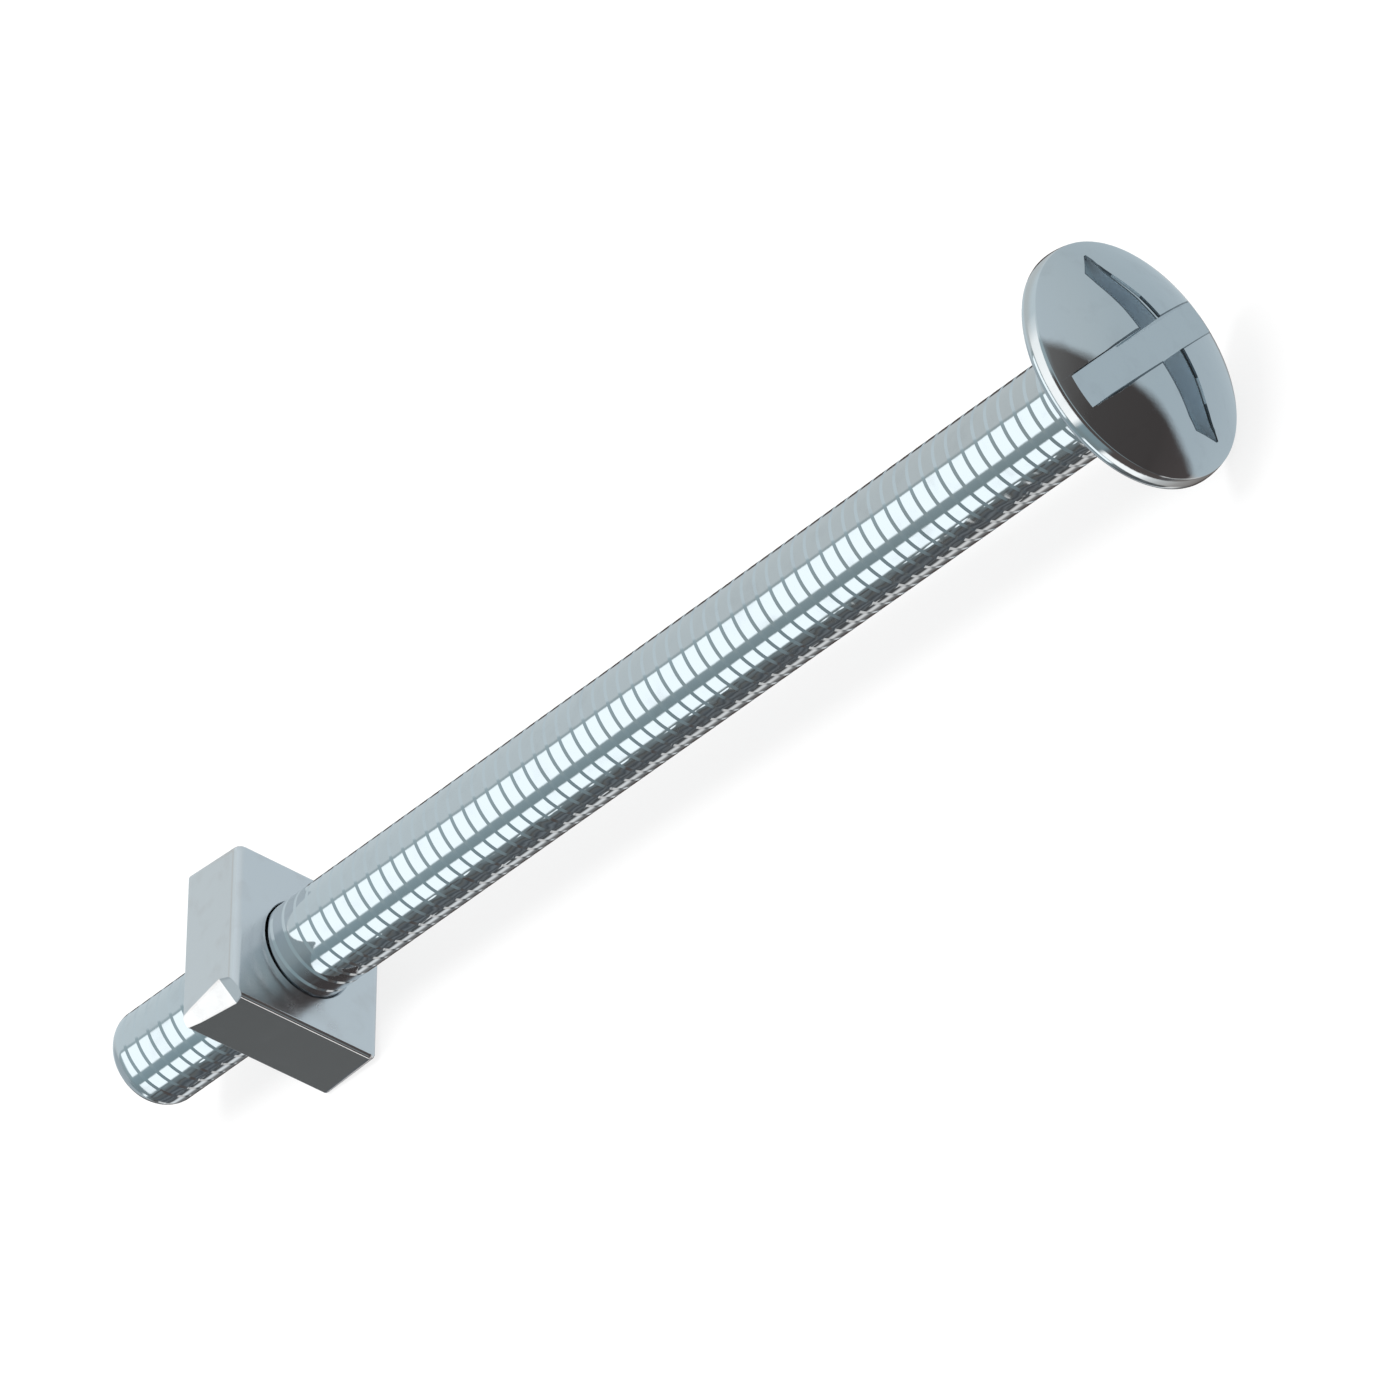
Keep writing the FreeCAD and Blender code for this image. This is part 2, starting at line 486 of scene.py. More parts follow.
nut = {
    "boreRadius": 2.9 * mm,
    "mouthRadius": 2.97 * mm,
    "ridgeHeight": 0.12 * mm,
    "ridgeHalfWidth": 0.1 * mm,
    # rows of the thread's ridge in the bore: offset in half widths, part of the height
    "ridgeRows": [(-2, 0), (-1, 0.1), (-0.3, 1), (0.3, 1), (1, 0.1), (2, 0)],
    "frontEdgeRounding": 0.52 * mm,
    "backEdgeRounding": 0.12 * mm,
    "edgeSegments": 6,
    # the front edge is sharper toward -Y: how much of its rounding is left there, from how far out
    # it lessens and over what length
    "sharperShare": 0.42,
    "sharperFrom": 4.4 * mm,
    "sharperOver": 0.6 * mm,
    # rounding of each corner at the bearing face and at the outer face
    "corners": {
        "farTop": (0.7 * mm, 0.3 * mm), "nearTop": (0.6 * mm, 0.3 * mm),
        "nearBottom": (0.6 * mm, 0.3 * mm), "farBottom": (0.6 * mm, 0.3 * mm),
    },
    "cornerSegments": 10,
    # the flat dent in the upper corner toward -Y, in millimetres: its floor, how its front and its
    # back end slope, and how far they rise
    "dent": [
        (-66.84, -3.36, 5.16), (-66.28, -5.24, 3.92), (-69.02, -5.24, 4.27), (-69.28, -3.96, 5.17),
    ],
    "dentEnds": [(0.6, -0.25, -0.02), (-0.6, -0.25, -0.02)],
    "dentRise": 6,
    "leastFaceSide": 5 * mm,  # only the two flat faces are larger than this squared
    "smoothing": 15.5,
}


def nutRadius(x, share):
    radius = nut["boreRadius"] - nut["ridgeHeight"] * share
    fromFace = min(x - nutLow.x, nutHigh.x - x)
    return max(radius, nut["mouthRadius"] - fromFace)


# One rounded corner of the nut's outline, from its upright side to its level side
def nutCorner(side, lift, rounding):
    half = nutHigh.z
    count = nut["cornerSegments"]
    points = []
    for step in range(count + 1):
        angle = math.radians(90 * step / count)
        y = side * (half - rounding * (1 - math.cos(angle)))
        z = lift * (half - rounding * (1 - math.sin(angle)))
        points.append((y, z))
    return points


def nutOutline(atBearingFace):
    pick = 0 if atBearingFace else 1
    x = nutHigh.x if atBearingFace else nutLow.x
    places = (("farTop", 1, 1), ("nearTop", -1, 1), ("nearBottom", -1, -1), ("farBottom", 1, -1))
    points = []
    for name, side, lift in places:
        corner = nutCorner(side, lift, nut["corners"][name][pick])
        if side * lift < 0:
            corner.reverse()
        points += [(x, y, z) for y, z in corner]
    return points


# The nut's outside, still without its bore
def makeNutShell():
    front = nutOutline(True)
    back = nutOutline(False)
    count = len(front)
    faces = [tuple(range(count)), tuple(range(count, 2 * count))]
    for step in range(count):
        beside = (step + 1) % count
        faces.append((step, beside, count + beside, count + step))
    shell = meshPiece("nut_with_thread", front + back, faces)
    turnOutward(shell)
    weights = shell.data.attributes.new("bevel_weight_edge", "FLOAT", "EDGE")
    for edge in shell.data.edges:
        ends = [shell.data.vertices[corner].co for corner in edge.vertices]
        middle = (ends[0] + ends[1]) / 2
        if max(abs(end.x - nutHigh.x) for end in ends) < onPlane:
            sharper = (-middle.y - nut["sharperFrom"]) / nut["sharperOver"]
            sharper = min(max(sharper, 0), 1)
            weights.data[edge.index].value = 1 - (1 - nut["sharperShare"]) * sharper
        elif max(abs(end.x - nutLow.x) for end in ends) < onPlane:
            weights.data[edge.index].value = nut["backEdgeRounding"] / nut["frontEdgeRounding"]
    activate(shell)
    rounding = shell.modifiers.new("edge rounding", "BEVEL")
    rounding.limit_method = "WEIGHT"
    rounding.width = nut["frontEdgeRounding"]
    rounding.segments = nut["edgeSegments"]
    bpy.ops.object.modifier_apply(modifier=rounding.name)
    return shell


def dentCutter():
    base = [Vector(place) * mm for place in nut["dent"]]
    front, back = [Vector(way) * nut["dentRise"] * mm for way in nut["dentEnds"]]
    top = [base[0] + front, base[1] + front, base[2] + back, base[3] + back]
    sides = [(step, (step + 1) % 4, (step + 1) % 4 + 4, step + 4) for step in range(4)]
    dent = meshPiece("dent", base + top, [(0, 1, 2, 3), (7, 6, 5, 4)] + sides)
    turnOutward(dent)
    return dent


def makeNutBore():
    half = nut["ridgeHalfWidth"]
    sections = [(-0.5 * thread["pitch"] + half, 0)]
    sections += [(offset * half, share) for offset, share in nut["ridgeRows"]]
    return helicalWall("bore", nutLow.x, nutHigh.x, sections, nutRadius, False)


def makeNut():
    shell = makeNutShell()
    cutWith(shell, dentCutter())
    joinInto(shell, makeNutBore())
    # Both flat faces open to the countersunk bore
    startEdit(shell, "FACE")
    for face in shell.data.polygons:
        face.select = abs(face.normal.x) > 0.99 and face.area > nut["leastFaceSide"] ** 2
    editSelected(shell, bpy.ops.mesh.delete, type="ONLY_FACE")
    for x in (nutHigh.x, nutLow.x):
        startEdit(shell, "EDGE")
        editSelected(shell, bpy.ops.mesh.select_non_manifold)
        for edge in shell.data.edges:
            ends = [shell.data.vertices[corner].co.x for corner in edge.vertices]
            edge.select = edge.select and max(abs(end - x) for end in ends) < onPlane
        editSelected(shell, bpy.ops.mesh.fill)
    turnOutward(shell)
    smoothByAngle(shell, nut["smoothing"])
    even = shell.modifiers.new("even shading", "WEIGHTED_NORMAL")
    even.keep_sharp = True
    bpy.ops.object.modifier_apply(modifier=even.name)
    return shell


# Colours are written as they look on a screen, from 0 to 255
def onScreen(red, green, blue):
    def light(value):
        value = value / 255
        return value / 12.92 if value <= 0.04045 else ((value + 0.055) / 1.055) ** 2.4
    return tuple(light(value) for value in (red, green, blue)) + (1,)


def mathNode(tree, operation, first, second=None, third=None):
    node = tree.nodes.new("ShaderNodeMath")
    node.operation = operation
    for socket, value in zip(node.inputs, (first, second, third)):
        if value is None:
            continue
        if isinstance(value, (int, float)):
            socket.default_value = value
        else:
            tree.links.new(value, socket)
    return node.outputs[0]


def dotNode(tree, vector, fixed):
    node = tree.nodes.new("ShaderNodeVectorMath")
    node.operation = "DOT_PRODUCT"
    tree.links.new(vector, node.inputs[0])
    node.inputs[1].default_value = fixed
    return node.outputs["Value"]


def stepNode(tree, value, low, high):
    node = tree.nodes.new("ShaderNodeMapRange")
    node.interpolation_type = "SMOOTHSTEP"
    tree.links.new(value, node.inputs["Value"])
    node.inputs["From Min"].default_value = low
    node.inputs["From Max"].default_value = high
    return node.outputs["Result"]


# 1 from low to high and 0 outside, with soft ends
def withinNode(tree, value, low, high, soft):
    rise = stepNode(tree, value, low - soft, low + soft)
    fall = stepNode(tree, value, high + soft, high - soft)
    return mathNode(tree, "MULTIPLY", rise, fall)


# The angle of a vector about the bolt's axis in degrees, from toward to across
def turnNode(tree, vector):
    across = dotNode(tree, vector, studio["across"])
    toward = dotNode(tree, vector, studio["toward"])
    return mathNode(tree, "DEGREES", mathNode(tree, "ARCTAN2", across, toward))


def mixColours(tree, share, first, second, blend="MIX"):
    node = tree.nodes.new("ShaderNodeMix")
    node.data_type = "RGBA"
    node.blend_type = blend
    for socket, value in ((node.inputs[0], share), (node.inputs[6], first), (node.inputs[7], second)):
        if isinstance(value, (int, float, tuple)):
            socket.default_value = value
        else:
            tree.links.new(value, socket)
    return node.outputs[2]


def rampNode(tree, value, stops, low, high):
    spread = tree.nodes.new("ShaderNodeMapRange")
    tree.links.new(value, spread.inputs["Value"])
    spread.inputs["From Min"].default_value = low
    spread.inputs["From Max"].default_value = high
    ramp = tree.nodes.new("ShaderNodeValToRGB")
    tree.links.new(spread.outputs["Result"], ramp.inputs["Fac"])
    elements = ramp.color_ramp.elements
    while len(elements) > 1:
        elements.remove(elements[-1])
    for number, (place, colour) in enumerate(stops):
        share = (place - low) / (high - low)
        element = elements[0] if number == 0 else elements.new(share)
        element.position = share
        element.color = colour
    return ramp.outputs["Color"]


def colourRamp(tree, value, rows, low, high):
    stops = [(place, onScreen(*colour)) for place, colour in rows]
    return rampNode(tree, value, stops, low, high)


def shareRamp(tree, value, rows, low, high):
    stops = [(place, (share, share, share, 1)) for place, share in rows]
    return rampNode(tree, value, stops, low, high)


# The studio that the bright metal mirrors. toward points square from the bolt's axis at the camera,
# across lies a quarter turn on, low and to the right in the picture, behind is where the camera
# looks, and beside is the bolt's own direction as the camera sees it. The ring is what stands round
# the bolt, by angle from toward to across. Reaches are along the bolt: the X part of a direction,
# which is -1 toward the tip and 1 toward the head.
studio = {
    "toward": (0, -0.7626, 0.6469),
    "across": (0, -0.6469, -0.7626),
    "behind": (-0.6125, 0.6014, -0.5130),
    "beside": (0.79, 0.467, -0.396),
    "strength": 1.45,
    "ring": [
        (-180, (166, 172, 175)), (-130, (174, 179, 179)), (-62, (174, 179, 179)),
        (-57, (138, 148, 149)), (5, (133, 144, 145)), (12, (122, 135, 138)), (26, (115, 128, 130)),
        (48, (112, 121, 123)), (60, (108, 117, 118)), (69, (104, 111, 112)), (75.5, (92, 97, 98)),
        (79.3, (72, 72, 71)), (82.2, (88, 88, 86)), (87, (82, 85, 87)), (92, (64, 67, 69)),
        (98, (98, 101, 103)), (104, (66, 68, 70)), (110, (94, 96, 97)), (115, (66, 67, 67)),
        (118.5, (70, 70, 70)), (121, (120, 119, 118)), (124, (190, 188, 186)),
        (129, (202, 200, 198)), (133, (188, 186, 184)), (137, (140, 138, 137)),
        (142, (104, 103, 102)), (150, (93, 92, 91)), (160, (90, 89, 88)), (180, (84, 84, 86)),
    ],
    # The ring's colours are multiplied by the tint: fully toward the far end and where the grooves
    # mirror it, and by a share of it at the very end and at the near end
    "tint": (1.1, 1.17, 1.22, 1),
    "farTintReach": (-0.56, -0.68),
    "farEndReach": (-0.76, -0.86),
    "farEndShare": 0.5,
    "grooveTintStart": (-0.5, -0.3),
    "grooveTintEnd": (0.315, 0.175),
    "nearTintReach": (0.34, 0.5),
    "nearTintShare": 0.5,
    # Patches of one colour, laid over the ring one after another: how much of the colour there is
    # by angle, and its reach. The windows are the two rows of bright panes on the shank, and the
    # others are the lights and shades that the rim, the grooves and the nut mirror.
    "patchSoftness": 0.02,
    "patches": {
        "windows": {
            "colour": (244, 252, 254),
            "reach": (-0.7, -0.55),
            "angles": [(-180, 0), (-55, 0), (-53, 1), (3.5, 1), (6.5, 0), (27, 0), (29.5, 1),
                       (59.5, 1), (62.5, 0), (180, 0)],
        },
        "shade": {
            "colour": (76, 70, 68),
            "reach": (-0.16, 0.05),
            "angles": [(-180, 0), (-34, 0), (-24, 1), (78, 1), (92, 0), (180, 0)],
        },
        "rimShade": {
            "colour": (112, 107, 104),
            "reach": (-0.54, -0.25),
            "angles": [(-180, 0), (100, 0), (116, 1), (180, 1)],
        },
        "lowShade": {
            "colour": (76, 70, 68),
            "reach": (-0.37, -0.1),
            "angles": [(-180, 0), (42, 0), (50, 1), (96, 1), (110, 0), (180, 0)],
        },
        "lowPane": {
            "colour": (192, 190, 188),
            "reach": (-0.22, 0.3),
            "angles": [(-180, 0), (93, 0), (98, 1), (108, 1), (113, 0), (180, 0)],
        },
        "firstPane": {
            "colour": (250, 250, 248),
            "reach": (-0.5, -0.16),
            "angles": [(-180, 0), (-84, 0), (-72, 0.3), (-60, 0.8), (-30, 0.95), (10, 1), (17, 0),
                       (180, 0)],
        },
        "secondPane": {
            "colour": (250, 250, 248),
            "reach": (-0.53, -0.36),
            "angles": [(-180, 0), (42, 0), (48, 1), (82, 1), (96, 0.5), (122, 0.15), (150, 0),
                       (180, 0)],
        },
    },
    "farWall": (150, 160, 165),
    "farWallReach": (-0.84, -0.92),
    # Past the ring's end stand a dark side and a pale side of the room. Their colours go by height,
    # and so does the line between them, which is a place along Y. The ring ends further along the
    # bolt by ringEndLean, toward the camera.
    "sideEdge": [
        (-1, 0.07), (-0.925, 0.065), (-0.858, 0.072), (-0.775, 0.09), (-0.651, 0.14),
        (-0.541, 0.18), (-0.475, 0.199), (-0.386, 0.211), (0.038, 0.275), (0.167, 0.304),
        (0.29, 0.326), (0.49, 0.33), (1, 0.33),
    ],
    "sideEdgeSoftness": (-0.09, 0.03),
    "ringEndLean": 0.7,
    "ringEndReach": (0.1, 0.35),
    "paleSide": [
        (-1, (166, 177, 182)), (-0.85, (160, 171, 177)), (-0.5, (158, 170, 176)),
        (-0.2, (160, 171, 176)), (0.1, (166, 176, 180)), (0.42, (170, 180, 185)),
        (1, (172, 184, 188)),
    ],
    "darkSide": [
        (-1, (188, 186, 184)), (-0.94, (180, 178, 176)), (-0.89, (72, 66, 65)),
        (-0.6, (62, 58, 57)), (0, (66, 63, 62)), (0.2, (80, 78, 77)), (0.38, (94, 93, 92)),
        (0.46, (112, 118, 120)), (0.53, (138, 152, 157)), (1, (146, 160, 166)),
    ],
    # A dark patch straight behind the bolt, which draws the thin dark outlines along the shank: its
    # half widths are in degrees, along across and along beside
    "backPatch": (74, 68, 66),
    "backPatchSize": (24, 7),
    "backPatchSoftness": 0.15,
    "backPatchReach": (0, 0.1),  # along behind
}


def ringColour(tree, direction, forward):
    turn = turnNode(tree, direction)
    ring = colourRamp(tree, turn, studio["ring"], -180, 180)
    farEnd = stepNode(tree, forward, *studio["farEndReach"])
    ending = mathNode(tree, "MULTIPLY_ADD", farEnd, studio["farEndShare"] - 1, 1)
    far = mathNode(tree, "MULTIPLY", stepNode(tree, forward, *studio["farTintReach"]), ending)
    grooves = mathNode(tree, "MULTIPLY", stepNode(tree, forward, *studio["grooveTintStart"]),
                       stepNode(tree, forward, *studio["grooveTintEnd"]))
    nearEnd = stepNode(tree, forward, *studio["nearTintReach"])
    near = mathNode(tree, "MULTIPLY_ADD", nearEnd, studio["nearTintShare"], grooves)
    share = mathNode(tree, "ADD", far, near)
    tint = mixColours(tree, share, (1, 1, 1, 1), studio["tint"])
    ring = mixColours(tree, 1.0, ring, tint, "MULTIPLY")
    for patch in studio["patches"].values():
        reach = withinNode(tree, forward, *patch["reach"], studio["patchSoftness"])
        angles = shareRamp(tree, turn, patch["angles"], -180, 180)
        share = mathNode(tree, "MULTIPLY", angles, reach)
        ring = mixColours(tree, share, ring, onScreen(*patch["colour"]))
    farWall = stepNode(tree, forward, *studio["farWallReach"])
    return mixColours(tree, farWall, ring, onScreen(*studio["farWall"]))


def roomColour(tree, sideways, upward):
    border = shareRamp(tree, upward, studio["sideEdge"], -1, 1)
    side = stepNode(tree, mathNode(tree, "SUBTRACT", sideways, border), *studio["sideEdgeSoftness"])
    dark = colourRamp(tree, upward, studio["darkSide"], -1, 1)
    pale = colourRamp(tree, upward, studio["paleSide"], -1, 1)
    return mixColours(tree, side, dark, pale)


# How much of the dark patch behind the bolt there is in a direction
def backPatchShare(tree, direction):
    squares = []
    for name, size in zip(("across", "beside"), studio["backPatchSize"]):
        part = dotNode(tree, direction, studio[name])
        part = mathNode(tree, "DIVIDE", part, math.sin(math.radians(size)))
        squares.append(mathNode(tree, "POWER", part, 2))
    away = mathNode(tree, "ADD", *squares)
    soft = studio["backPatchSoftness"]
    inside = stepNode(tree, away, 1 + soft, 1 - soft)
    behind = stepNode(tree, dotNode(tree, direction, studio["behind"]), *studio["backPatchReach"])
    return mathNode(tree, "MULTIPLY", inside, behind)


def makeStudio():
    world = bpy.data.worlds.new("plain studio")
    bpy.context.scene.world = world
    world.use_nodes = True
    tree = world.node_tree
    tree.nodes.clear()
    direction = tree.nodes.new("ShaderNodeTexCoord").outputs["Generated"]
    parts = tree.nodes.new("ShaderNodeSeparateXYZ")
    tree.links.new(direction, parts.inputs[0])
    forward, sideways, upward = parts.outputs

    ring = ringColour(tree, direction, forward)
    room = roomColour(tree, sideways, upward)
    toward = dotNode(tree, direction, studio["toward"])
    past = mathNode(tree, "MULTIPLY_ADD", toward, -studio["ringEndLean"], forward)
    colour = mixColours(tree, stepNode(tree, past, *studio["ringEndReach"]), ring, room)
    backPatch = backPatchShare(tree, direction)
    colour = mixColours(tree, backPatch, colour, onScreen(*studio["backPatch"]))

    # Only mirrored rays see the studio, and everything else sees plain white
    rays = tree.nodes.new("ShaderNodeLightPath")
    mirrored = tree.nodes.new("ShaderNodeBackground")
    mirrored.inputs["Strength"].default_value = studio["strength"]
    tree.links.new(colour, mirrored.inputs["Color"])
    plain = tree.nodes.new("ShaderNodeBackground")
    plain.inputs["Color"].default_value = (1, 1, 1, 1)
    plain.inputs["Strength"].default_value = 1
    both = tree.nodes.new("ShaderNodeMixShader")
    tree.links.new(rays.outputs["Is Glossy Ray"], both.inputs[0])
    tree.links.new(plain.outputs[0], both.inputs[1])
    tree.links.new(mirrored.outputs[0], both.inputs[2])
    end = tree.nodes.new("ShaderNodeOutputWorld")
    tree.links.new(both.outputs[0], end.inputs["Surface"])


floor = {
    "size": 3.0,
    "colour": (0.9, 0.9, 0.9, 1),
    "whiteShare": 0.8,  # how much of the floor is plain white whatever falls on it
    "headTouchX": 0.6 * mm,  # where along X the head's rim touches it
}


def floorMaterial():
    material = bpy.data.materials.new("pale floor")
    material.use_nodes = True
    tree = material.node_tree
    tree.nodes.clear()
    lit = tree.nodes.new("ShaderNodeBsdfDiffuse")
    lit.inputs["Color"].default_value = floor["colour"]
    white = tree.nodes.new("ShaderNodeEmission")
    white.inputs["Color"].default_value = (1, 1, 1, 1)
    white.inputs["Strength"].default_value = 1
    clear = tree.nodes.new("ShaderNodeBsdfTransparent")
    rays = tree.nodes.new("ShaderNodeLightPath")
    seen = tree.nodes.new("ShaderNodeMixShader")
    share = mathNode(tree, "MULTIPLY", rays.outputs["Is Camera Ray"], floor["whiteShare"])
    tree.links.new(share, seen.inputs[0])
    tree.links.new(lit.outputs[0], seen.inputs[1])
    tree.links.new(white.outputs[0], seen.inputs[2])
    final = tree.nodes.new("ShaderNodeMixShader")
    tree.links.new(rays.outputs["Is Glossy Ray"], final.inputs[0])
    tree.links.new(seen.outputs[0], final.inputs[1])
    tree.links.new(clear.outputs[0], final.inputs[2])
    end = tree.nodes.new("ShaderNodeOutputMaterial")
    tree.links.new(final.outputs[0], end.inputs["Surface"])
    return material


# The bolt rests on its head's rim and on the nut's outer lower edge
def makeFloor():
    headTouch = Vector((floor["headTouchX"], 0, boltLow.z))
    nutTouch = Vector((nutLow.x, 0, nutLow.z))
    slope = math.atan2(headTouch.z - nutTouch.z, headTouch.x - nutTouch.x)
    middle = (headTouch + nutTouch) / 2
    bpy.ops.object.select_all(action="DESELECT")
    bpy.ops.mesh.primitive_plane_add(size=floor["size"], location=middle, rotation=(0, -slope, 0))
    ground = bpy.context.object
    ground.name = "floor"
    ground.data.materials.append(floorMaterial())
    return middle


lamp = {
    "place": (-0.15, -0.1, 0.9),
    "power": 6.0,  # in watts
    "size": 0.5,
}


def makeLamp(aim):
    bpy.ops.object.light_add(type="AREA", location=lamp["place"])
    light = bpy.context.object
    light.name = "soft lamp"
    light.data.energy = lamp["power"]
    light.data.shape = "DISK"
    light.data.size = lamp["size"]
    light.visible_glossy = False
    light.rotation_euler = (aim - light.location).to_track_quat("-Z", "Y").to_euler()


camera = {
    "aim": Vector((-33.925, -0.809, -0.948)) * mm,
    "spot": Vector((319.53, -347.87, 295.10)) * mm,
    "roll": -62.927,
    "lens": 284.72,  # in millimetres, as the sensor's width is
    "sensor": 36,
    "clip": (0.05, 10),
}


def makeCamera():
    bpy.ops.object.camera_add(location=camera["spot"])
    eye = bpy.context.object
    look = (camera["aim"] - camera["spot"]).to_track_quat("-Z", "Y")
    eye.rotation_euler = (look @ Quaternion((0, 0, 1), math.radians(camera["roll"]))).to_euler()
    eye.data.lens = camera["lens"]
    eye.data.sensor_width = camera["sensor"]
    eye.data.clip_start, eye.data.clip_end = camera["clip"]
    bpy.context.scene.camera = eye


# What every zinc finish shares. A noise has its scale, detail and roughness.
zinc = {
    "grainNoise": (5200, 3, 0.6),
    "dullNoise": (620, 3, 0.55),
    "dentNoise": (820, 1, 0.5),
    "dullStep": (0.5, 0.75),
    "dullRoughness": 0.06,  # what a fully dull spot adds to the roughness
    "bumpHeight": 0.004 * mm,
}
# The group's inputs and what they are where a finish leaves them out
zincInputs = {
    "Colour": (0.74, 0.79, 0.82, 1), "Dull Colour": (0.6, 0.64, 0.66, 1),
    "Roughness": 0.1, "Grain": 0.2, "Dents": 0.2, "Painted Shade": 0.0,
}


# Zinc plate: a fine grain, dull spots and shallow dents, as a colour, a roughness and a height
def makeZincFinish():
    group = bpy.data.node_groups.new("zincFinish", "ShaderNodeTree")
    colourKind, numberKind = "NodeSocketColor", "NodeSocketFloat"
    for name, value in zincInputs.items():
        kind = colourKind if isinstance(value, tuple) else numberKind
        socket = group.interface.new_socket(name=name, in_out="INPUT", socket_type=kind)
        socket.default_value = value
    for name, kind in (("Colour", colourKind), ("Roughness", numberKind), ("Height", numberKind)):
        group.interface.new_socket(name=name, in_out="OUTPUT", socket_type=kind)
    given = group.nodes.new("NodeGroupInput").outputs
    made = group.nodes.new("NodeGroupOutput").inputs
    place = group.nodes.new("ShaderNodeTexCoord").outputs["Object"]

    def noise(scale, detail, roughness):
        node = group.nodes.new("ShaderNodeTexNoise")
        group.links.new(place, node.inputs["Vector"])
        node.inputs["Scale"].default_value = scale
        node.inputs["Detail"].default_value = detail
        node.inputs["Roughness"].default_value = roughness
        return node.outputs["Fac"]

    dull = stepNode(group, noise(*zinc["dullNoise"]), *zinc["dullStep"])
    colour = mixColours(group, dull, given["Colour"], given["Dull Colour"])
    # Painted shade: darkens the colour toward black by the given share
    colour = mixColours(group, given["Painted Shade"], colour, (0, 0, 0, 1))
    roughness = mathNode(group, "MULTIPLY_ADD", dull, zinc["dullRoughness"], given["Roughness"])
    grain = mathNode(group, "MULTIPLY", noise(*zinc["grainNoise"]), given["Grain"])
    dents = mathNode(group, "SUBTRACT", noise(*zinc["dentNoise"]), 0.5)  # about zero
    height = mathNode(group, "MULTIPLY_ADD", dents, given["Dents"], grain)
    group.links.new(colour, made["Colour"])
    group.links.new(roughness, made["Roughness"])
    group.links.new(height, made["Height"])
    return group


zincFinish = makeZincFinish()


def zincMaterial(name, finish):
    material = bpy.data.materials.new(name)
    material.use_nodes = True
    tree = material.node_tree
    shader = tree.nodes["Principled BSDF"]
    shader.inputs["Metallic"].default_value = 1
    effect = tree.nodes.new("ShaderNodeGroup")
    effect.node_tree = zincFinish
    effect.name = "Zinc Finish"
    for socket, value in finish.items():
        effect.inputs[socket].default_value = value
    bump = tree.nodes.new("ShaderNodeBump")
    bump.inputs["Strength"].default_value = 1
    bump.inputs["Distance"].default_value = zinc["bumpHeight"]
    tree.links.new(effect.outputs["Colour"], shader.inputs["Base Color"])
    tree.links.new(effect.outputs["Roughness"], shader.inputs["Roughness"])
    tree.links.new(effect.outputs["Height"], bump.inputs["Height"])
    tree.links.new(bump.outputs["Normal"], shader.inputs["Normal"])
    return material


boltFinish = {
    "Colour": (0.655, 0.69, 0.715, 1), "Dull Colour": (0.62, 0.65, 0.675, 1),
    "Roughness": 0.05, "Grain": 0.2, "Dents": 1.6,
}
# The shank's finish is mottled in a strip along one side: its dents are deeper there. The strip goes
# by the angle about the axis, and it starts behind the head's underside.
mottling = {
    "from": 34, "to": 56, "soft": 1.5, "dents": 15.0, "behindHead": (-0.3 * mm, -0.9 * mm),
}
# Painted shade: a dark copy of the zinc that stands in for the shade along the slots' edges; its
# roughness is the edge's own
edgeRoughnessAndPaintedShade = {
    "Colour": (0.16, 0.19, 0.215, 1), "Dull Colour": (0.12, 0.15, 0.17, 1),
    "Roughness": 0.25, "Grain": 0.3, "Dents": 0.8,
}
# Painted light: the walls' zinc is lighter and bluer than the bolt's, standing in for the light they
# mirror; their roughness is their own
roughWallWithPaintedLight = {
    "Colour": (0.76, 0.85, 0.92, 1), "Dull Colour": (0.70, 0.79, 0.86, 1),
    "Roughness": 0.56, "Grain": 0.4, "Dents": 1.2,
}


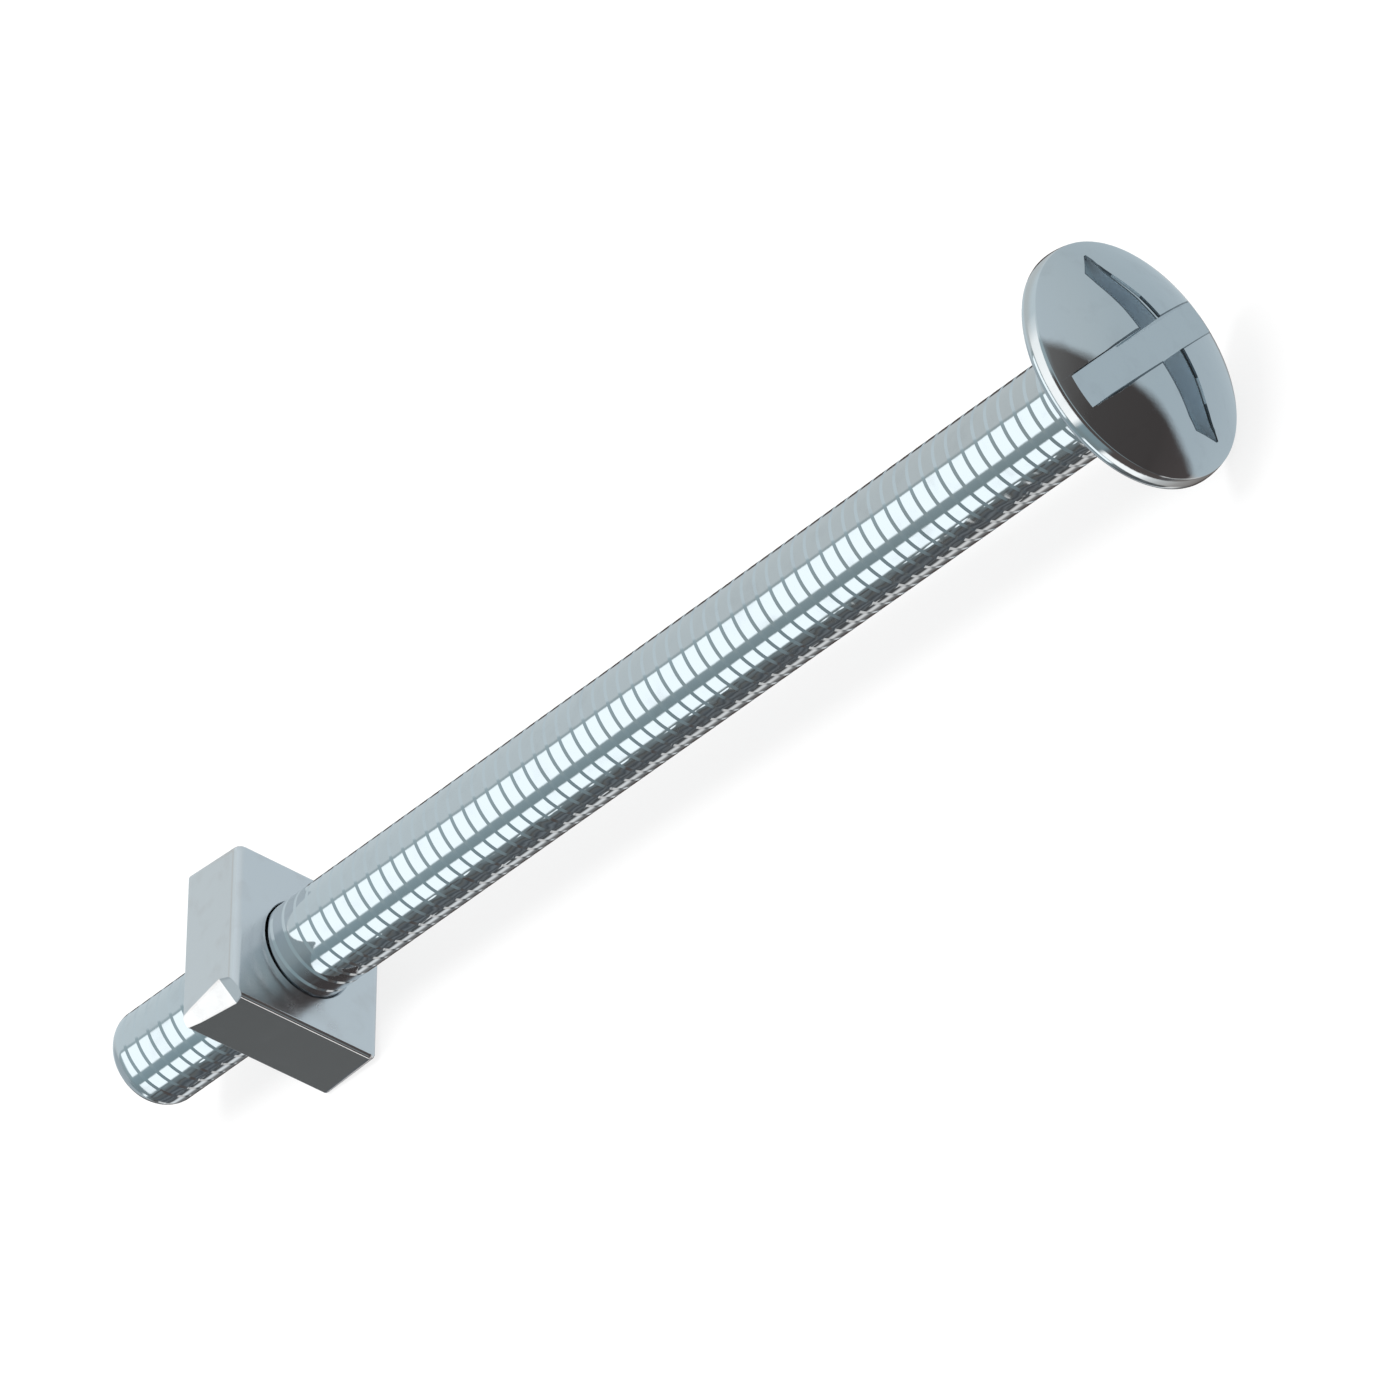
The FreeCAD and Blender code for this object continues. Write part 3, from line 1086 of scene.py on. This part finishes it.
def makeBoltZinc():
    material = zincMaterial("bright zinc of the bolt", boltFinish)
    tree = material.node_tree
    place = tree.nodes.new("ShaderNodeTexCoord").outputs["Object"]
    strip = withinNode(tree, turnNode(tree, place), mottling["from"], mottling["to"], mottling["soft"])
    onShank = stepNode(tree, dotNode(tree, place, (1, 0, 0)), *mottling["behindHead"])
    mottled = mathNode(tree, "MULTIPLY", strip, onShank)
    dents = mathNode(tree, "MULTIPLY_ADD", mottled, mottling["dents"], boltFinish["Dents"])
    tree.links.new(dents, tree.nodes["Zinc Finish"].inputs["Dents"])
    return material


nutFinish = {
    "Colour": (0.87, 0.87, 0.885, 1), "Dull Colour": (0.83, 0.82, 0.83, 1),
    "Roughness": 0.22, "Grain": 0.2, "Dents": 0.4,
}
# The nut's four flats: how much painted shade darkens them against its two faces, their roughness,
# smoother than the faces', and how near a flat's plane they begin
nutFlatsPaintedShadeAndRoughness = {"paintedFlatShade": 0.17, "roughness": 0.1, "near": (0.12 * mm, 0.02 * mm)}


def makeNutZinc():
    material = zincMaterial("bright zinc of the nut", nutFinish)
    tree = material.node_tree
    effect = tree.nodes["Zinc Finish"]
    parts = tree.nodes.new("ShaderNodeSeparateXYZ")
    tree.links.new(tree.nodes.new("ShaderNodeTexCoord").outputs["Object"], parts.inputs[0])
    outermost = mathNode(tree, "MAXIMUM", mathNode(tree, "ABSOLUTE", parts.outputs[1]),
                         mathNode(tree, "ABSOLUTE", parts.outputs[2]))
    start, full = [nutHigh.z - near for near in nutFlatsPaintedShadeAndRoughness["near"]]
    flats = stepNode(tree, outermost, start, full)
    # Painted shade over the flats
    paintedFlatShade = mathNode(tree, "MULTIPLY", flats, nutFlatsPaintedShadeAndRoughness["paintedFlatShade"])
    tree.links.new(paintedFlatShade, effect.inputs["Painted Shade"])
    change = nutFlatsPaintedShadeAndRoughness["roughness"] - nutFinish["Roughness"]
    roughness = mathNode(tree, "MULTIPLY_ADD", flats, change, nutFinish["Roughness"])
    tree.links.new(roughness, effect.inputs["Roughness"])
    return material


boltZinc = makeBoltZinc()
# The slot edges' zinc is darkened with painted shade
edgeZincWithPaintedShade = zincMaterial("zinc of the slot edges with painted shade", edgeRoughnessAndPaintedShade)
# The slot walls' zinc is lightened with painted light
roughWallZincWithPaintedLight = zincMaterial("rough zinc of the slot walls with painted light", roughWallWithPaintedLight)
bolt = makeBolt((boltZinc, edgeZincWithPaintedShade, roughWallZincWithPaintedLight))
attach(bolt, "bolt")
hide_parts("bolt")
print("bolt made:", len(bolt.data.polygons), "faces")

squareNut = makeNut()
squareNut.data.materials.clear()
squareNut.data.materials.append(makeNutZinc())
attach(squareNut, "square_nut")
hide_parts("square_nut")
print("nut made:", len(squareNut.data.polygons), "faces")

makeStudio()
floorMiddle = makeFloor()
makeLamp(floorMiddle)
makeCamera()
bpy.context.scene.view_settings.view_transform = "Standard"
print("floor, light and camera set")
